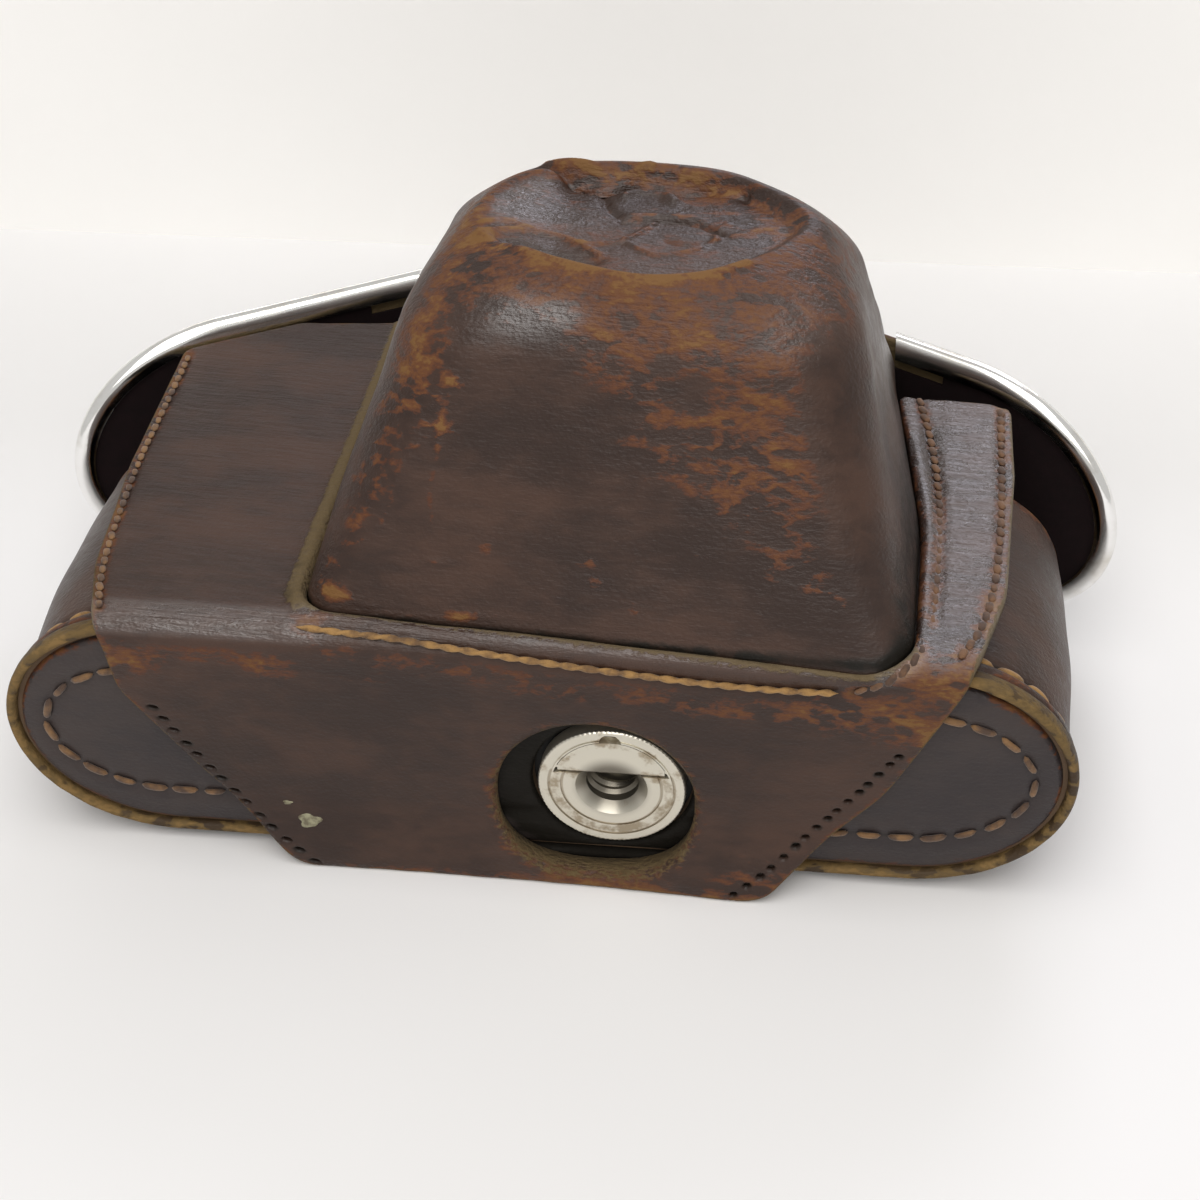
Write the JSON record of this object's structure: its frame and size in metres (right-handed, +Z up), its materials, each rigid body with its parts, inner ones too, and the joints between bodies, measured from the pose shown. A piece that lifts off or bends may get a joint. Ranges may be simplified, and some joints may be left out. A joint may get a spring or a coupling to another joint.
{
  "type": "leather camera case",
  "caption": "Moulded leather case for a 35 mm reflex camera, with a drop-front nose, chromed lid edging, a snap closure and a tripod retaining screw.",
  "frame": {"origin": "under the middle of the bounding box, on the plane that the case lies on with its back down", "axes": "+X to the right along the bottom's long side, +Y from the case's bottom to its top, +Z up from the back to the lens nose"},
  "size_m": [0.1766, 0.1002, 0.0911],
  "materials": {
    "case_leather": "worn plum-brown glazed leather with ochre rubbed edges",
    "welt_leather": "raw cut leather edge, darkened by handling",
    "fibre_board": "brown pressed fibre board",
    "lining_cloth": "short dark red velvet pile",
    "chrome_edging": "polished chromed brass channel",
    "nickel_plate": "worn nickel plate",
    "screw_steel": "turned nickel-plated steel with brown stains",
    "black_steel": "black enamelled steel"
  },
  "bodies": {
    "case": {"rim_welt": "welt_leather", "bottom_plate": "case_leather", "bottom_board": "fibre_board", "case_wall": "case_leather", "wall_lining": "lining_cloth", "bottom_lining": "lining_cloth", "bottom_flap": "case_leather", "screw_plate": "black_steel", "back_tongue": "case_leather", "snap_cap": "nickel_plate", "snap_socket": "nickel_plate"},
    "cover": {"front_panel": "case_leather", "panel_lining": "lining_cloth", "nose": "case_leather", "nose_lining": "lining_cloth", "lid_roof": "case_leather", "lid_lining": "lining_cloth", "lid_skirt": "case_leather", "edging_left": "chrome_edging", "edging_right": "chrome_edging", "snap_stud": "nickel_plate", "stud_rivet": "nickel_plate"},
    "screw": {"tripod_screw": "screw_steel", "screw_retainer": "black_steel", "wing_pin": "screw_steel"},
    "wing": {"screw_wing": "screw_steel"}
  },
  "joints": [
    {"name": "cover_hinge", "type": "hinge", "parent": "case", "child": "cover", "pos_m": [0, -0.049, 0.04395], "axis": [1, 0, 0], "range_deg": [0, 160]},
    {"name": "screw_turn", "type": "hinge", "parent": "case", "child": "screw", "pos_m": [0.0123, -0.04845, 0.0174], "axis": [0, 1, 0], "continuous": true},
    {"name": "wing_flip", "type": "hinge", "parent": "screw", "child": "wing", "pos_m": [0.0123, -0.04795, 0.0207], "axis": [1, 0, 0], "range_deg": [0, 90]}
  ]
}
